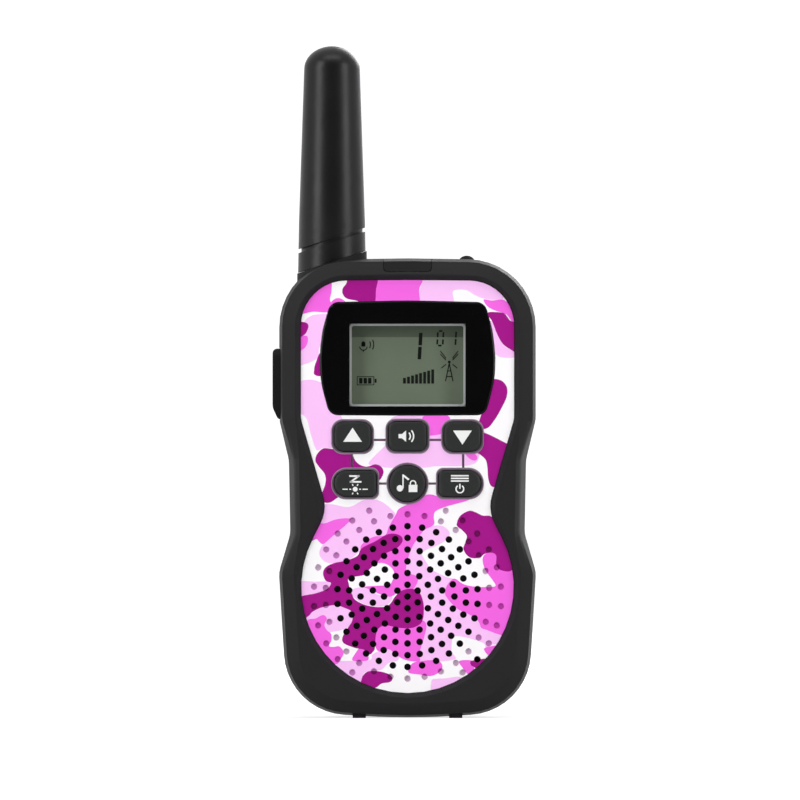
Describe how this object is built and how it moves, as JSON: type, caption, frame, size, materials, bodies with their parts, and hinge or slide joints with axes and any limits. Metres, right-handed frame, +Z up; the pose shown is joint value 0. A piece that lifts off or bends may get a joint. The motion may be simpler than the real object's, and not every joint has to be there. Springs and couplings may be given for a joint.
{
  "type": "toy walkie talkie",
  "caption": "Handheld toy two-way radio with fixed antenna, camouflage face panel, display, press keys, talk button, lamp, battery bay and sprung belt clip.",
  "frame": {"origin": "middle of the base between the two feet, on the plane that the radio stands on", "axes": "+Z up along the antenna, front face towards -Y, antenna on the -X side, belt clip on the +Y side"},
  "size_m": [0.0562, 0.035, 0.1436],
  "materials": {
    "housing_black": "fine moulded texture, satin",
    "panel_print": "printed camouflage under a satin film",
    "window_gloss": "polished, with a clear display area",
    "lamp_window": "smoked and polished",
    "bright_metal": "plated",
    "display": "grey-green reflective display",
    "diffuser": "milky",
    "elastomer": "matte",
    "key_grey": "satin",
    "silicone": "matte",
    "antenna_rubber": "smooth satin",
    "cover_rubber": "matte",
    "board": "solder-masked glass epoxy",
    "chip": "moulded epoxy",
    "lamp_clear": "clear epoxy",
    "copper": "enamelled wire",
    "gold_brass": "plated",
    "cloth": "woven",
    "cone": "pressed film",
    "cell_jacket": "printed sleeve",
    "zinc_steel": "zinc plated"
  },
  "bodies": {
    "radio": {"front_housing": "housing_black", "rear_housing": "housing_black", "face_panel": "panel_print", "display_window": "window_gloss", "lamp_lens": "lamp_window", "lcd_frame": "bright_metal", "lcd_glass": "display", "backlight_plate": "diffuser", "connector_strip": "elastomer", "key_mat": "silicone", "talk_switch": "chip", "antenna_sleeve": "antenna_rubber", "antenna_core": "chip", "antenna_coil": "copper", "antenna_nut": "gold_brass", "antenna_contact": "gold_brass", "headset_jack": "chip", "main_board": "board", "shield_can": "zinc_steel", "radio_chip": "chip", "processor": "chip", "crystal": "zinc_steel", "lamp_led": "lamp_clear", "lamp_reflector": "bright_metal", "speaker_cloth": "cloth", "speaker_frame": "zinc_steel", "speaker_cone": "cone", "speaker_magnet": "zinc_steel", "microphone": "zinc_steel", "microphone_boot": "cover_rubber", "battery_cell_1": "cell_jacket", "battery_cell_2": "cell_jacket", "battery_cell_3": "cell_jacket", "battery_cell_4": "cell_jacket", "spring_contacts": "zinc_steel", "flat_contacts": "zinc_steel", "housing_screws": "zinc_steel", "board_screws": "zinc_steel"},
    "up_key": {"up_key": "key_grey"},
    "monitor_key": {"monitor_key": "key_grey"},
    "down_key": {"down_key": "key_grey"},
    "lamp_key": {"lamp_key": "key_grey"},
    "call_key": {"call_key": "key_grey"},
    "menu_key": {"menu_key": "key_grey"},
    "talk_button": {"talk_button": "housing_black"},
    "jack_cover": {"jack_cover": "cover_rubber"},
    "battery_door": {"battery_door": "housing_black"},
    "clip_mount": {"clip_base": "housing_black", "clip_pin": "zinc_steel", "clip_spring": "zinc_steel"},
    "clip_lever": {"clip_lever": "housing_black"}
  },
  "joints": [
    {"name": "up_key_press", "type": "slide", "parent": "radio", "child": "up_key", "axis": [0, 1, 0], "range_m": [0, 0.0006], "stiffness_N_per_m": 400},
    {"name": "monitor_key_press", "type": "slide", "parent": "radio", "child": "monitor_key", "axis": [0, 1, 0], "range_m": [0, 0.0006], "stiffness_N_per_m": 400},
    {"name": "down_key_press", "type": "slide", "parent": "radio", "child": "down_key", "axis": [0, 1, 0], "range_m": [0, 0.0006], "stiffness_N_per_m": 400},
    {"name": "lamp_key_press", "type": "slide", "parent": "radio", "child": "lamp_key", "axis": [0, 1, 0], "range_m": [0, 0.0006], "stiffness_N_per_m": 400},
    {"name": "call_key_press", "type": "slide", "parent": "radio", "child": "call_key", "axis": [0, 1, 0], "range_m": [0, 0.0006], "stiffness_N_per_m": 400},
    {"name": "menu_key_press", "type": "slide", "parent": "radio", "child": "menu_key", "axis": [0, 1, 0], "range_m": [0, 0.0006], "stiffness_N_per_m": 400},
    {"name": "talk_press", "type": "slide", "parent": "radio", "child": "talk_button", "axis": [1, 0, 0], "range_m": [0, 0.0009], "stiffness_N_per_m": 500},
    {"name": "jack_cover_hinge", "type": "hinge", "parent": "radio", "child": "jack_cover", "pos_m": [0.0082, 0.005, 0.0963], "axis": [0, -1, 0], "range_deg": [0, 90]},
    {"name": "battery_door_slide", "type": "slide", "parent": "radio", "child": "battery_door", "axis": [0, 0, -1], "range_m": [0, 0.004]},
    {"name": "clip_slide", "type": "slide", "parent": "radio", "child": "clip_mount", "axis": [0, 0, 1], "range_m": [0, 0.025]},
    {"name": "clip_hinge", "type": "hinge", "parent": "clip_mount", "child": "clip_lever", "pos_m": [0, 0.018, 0.0803], "axis": [1, 0, 0], "range_deg": [0, 9], "stiffness_Nm_per_rad": 0.3, "springref_deg": -5.73}
  ]
}
